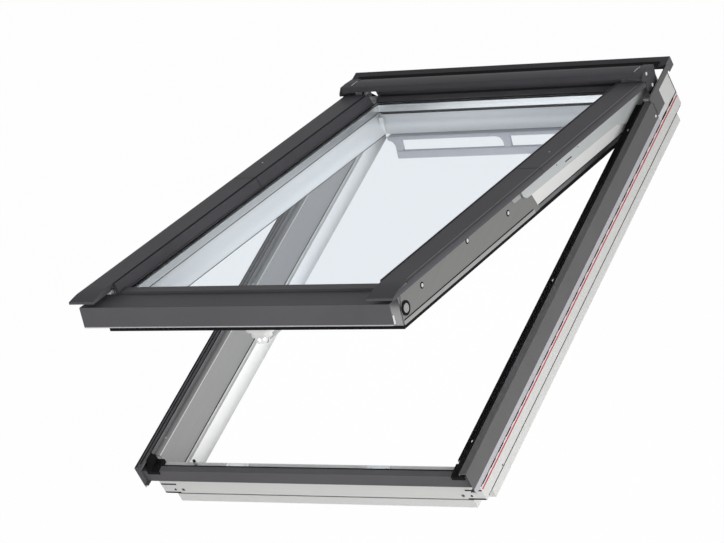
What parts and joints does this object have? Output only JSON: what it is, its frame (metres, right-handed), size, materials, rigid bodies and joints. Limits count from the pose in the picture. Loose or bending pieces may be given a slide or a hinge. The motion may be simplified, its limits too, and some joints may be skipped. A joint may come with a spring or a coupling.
{
  "type": "roof window",
  "caption": "Top-hung roof window standing ajar: white timber frame and sash, dark grey metal covers and double glazing.",
  "frame": {"origin": "middle of the bounding box's underside, at the room side of the frame", "axes": "+X across the window to the right seen from the roof's foot, +Y up the roof slope, +Z out of the roof"},
  "size_m": [0.8056, 1.2238, 0.5423],
  "materials": {
    "white_timber": "white paint",
    "dark_metal": "dark grey lacquer",
    "satin_aluminium": "satin",
    "bright_steel": "brushed",
    "black_rubber": "matt",
    "white_plastic": "matt",
    "clear_glass": "clear",
    "chrome": "polished"
  },
  "bodies": {
    "frame": {"frame_rail_left": "white_timber", "frame_rail_right": "white_timber", "frame_rail_bottom": "white_timber", "frame_rail_top": "white_timber", "cladding_left": "dark_metal", "cladding_right": "dark_metal", "cladding_bottom": "dark_metal", "lining_left": "satin_aluminium", "lining_right": "satin_aluminium", "corner_blocks": "black_rubber", "bottom_seal": "black_rubber", "side_seals": "black_rubber", "top_casing": "dark_metal", "cheek_left": "dark_metal", "cheek_right": "dark_metal", "hinge_bracket_left": "dark_metal", "hinge_bracket_right": "dark_metal", "hinge_pins": "bright_steel", "striker_plates": "bright_steel", "buffer_pegs": "white_plastic", "buffer_tips": "black_rubber"},
    "arms": {"arm_left": "bright_steel", "arm_right": "bright_steel", "upper_cover_left": "dark_metal", "upper_cover_right": "dark_metal", "hood": "dark_metal", "hood_end_left": "dark_metal", "hood_end_right": "dark_metal", "hood_struts": "dark_metal", "hood_screws": "bright_steel"},
    "sash": {"sash_rail_left": "white_timber", "sash_rail_right": "white_timber", "sash_rail_top": "white_timber", "sash_rail_bottom": "white_timber", "outer_pane": "clear_glass", "inner_pane": "clear_glass", "spacer": "satin_aluminium", "sash_gasket": "black_rubber", "lower_cover_left": "dark_metal", "lower_cover_right": "dark_metal", "bottom_cover": "dark_metal", "cover_plugs": "white_plastic", "bottom_bead": "dark_metal", "top_bead": "dark_metal", "sash_side_left": "satin_aluminium", "sash_side_right": "satin_aluminium", "side_screws": "bright_steel", "side_caps": "black_rubber", "slide_left": "bright_steel", "slide_right": "bright_steel", "handle_rosette": "white_plastic", "flap_pin": "bright_steel", "flap_lugs": "white_plastic"},
    "handle": {"handle": "chrome"},
    "lock": {"lock_bar": "bright_steel"},
    "vent": {"vent_flap": "white_plastic", "bar_brackets": "white_plastic", "control_bar": "satin_aluminium"}
  },
  "joints": [
    {"name": "top_hinge", "type": "hinge", "parent": "frame", "child": "arms", "pos_m": [0, 0.5581, 0.1213], "axis": [-1, 0, 0], "range_deg": [-20.2, 24.8]},
    {"name": "sash_pivot", "type": "hinge", "parent": "arms", "child": "sash", "pos_m": [0, 0.05491, 0.33201], "axis": [-1, 0, 0], "range_deg": [0, 135]},
    {"name": "handle_turn", "type": "hinge", "parent": "sash", "child": "handle", "pos_m": [0, -0.49229, 0.42892], "axis": [0, 0.3453, 0.9385], "range_deg": [0, 90]},
    {"name": "lock_slide", "type": "slide", "parent": "sash", "child": "lock", "axis": [1, 0, 0], "range_m": [0, 0.012]},
    {"name": "vent_hinge", "type": "hinge", "parent": "sash", "child": "vent", "pos_m": [0, 0.49938, 0.05873], "axis": [1, 0, 0], "range_deg": [0, 30]}
  ],
  "couplings": [
    {"joint": "lock_slide", "follows": "handle_turn", "m_per_rad": 0.007639}
  ]
}
